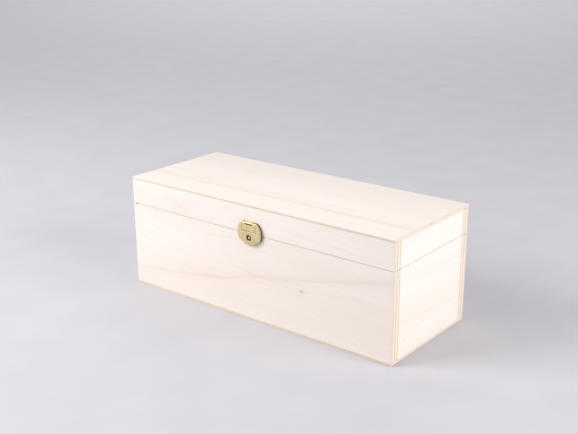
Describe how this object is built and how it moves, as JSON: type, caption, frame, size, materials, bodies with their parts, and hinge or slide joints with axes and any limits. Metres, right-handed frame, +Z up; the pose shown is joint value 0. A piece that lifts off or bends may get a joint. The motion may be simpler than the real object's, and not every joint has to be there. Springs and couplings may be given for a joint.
{
  "type": "wooden money box",
  "caption": "Small rectangular plywood money box with a hinged lid, a round brass surface lock and a hasp.",
  "frame": {"origin": "middle of the underside of the box", "axes": "+X along the length to the right as seen from the front, +Y from the front with the lock to the back with the hinges, +Z up"},
  "size_m": [0.3, 0.1267, 0.11],
  "materials": {
    "plywood": "raw sanded birch and poplar plywood, unvarnished",
    "brass_sheet": "pressed sheet brass, pale, satin",
    "hinge_brass": "brass-plated, satin",
    "bright_steel": "bright drawn steel"
  },
  "bodies": {
    "body": {"bottom_panel": "plywood", "front_panel": "plywood", "back_panel": "plywood", "left_end_panel": "plywood", "right_end_panel": "plywood", "lock_base_plate": "brass_sheet", "lock_case": "brass_sheet", "key_post": "bright_steel", "bolt_guide_stud": "bright_steel", "bolt_spring": "bright_steel", "lock_nails": "bright_steel", "left_hinge_body_leaf": "hinge_brass", "left_hinge_pin": "bright_steel", "right_hinge_body_leaf": "hinge_brass", "right_hinge_pin": "bright_steel", "hinge_body_screws": "hinge_brass"},
    "lid": {"lid_top_panel": "plywood", "lid_front_rail": "plywood", "lid_back_rail": "plywood", "lid_left_rail": "plywood", "lid_right_rail": "plywood", "hasp_lid_plate": "brass_sheet", "hasp_nails": "bright_steel", "left_hinge_lid_leaf": "hinge_brass", "right_hinge_lid_leaf": "hinge_brass", "hinge_lid_screws": "hinge_brass"},
    "hasp": {"hasp": "brass_sheet", "hasp_staple": "brass_sheet"},
    "bolt": {"lock_bolt": "brass_sheet"}
  },
  "joints": [
    {"name": "lid_hinge", "type": "hinge", "parent": "body", "child": "lid", "pos_m": [0, 0.06175, 0.0833], "axis": [-1, 0, 0], "range_deg": [0, 175]},
    {"name": "hasp_hinge", "type": "hinge", "parent": "lid", "child": "hasp", "pos_m": [0.0012, -0.0622, 0.0938], "axis": [-1, 0, 0], "range_deg": [0, 170]},
    {"name": "bolt_slide", "type": "slide", "parent": "body", "child": "bolt", "axis": [1, 0, 0], "range_m": [0, 0.003]}
  ]
}
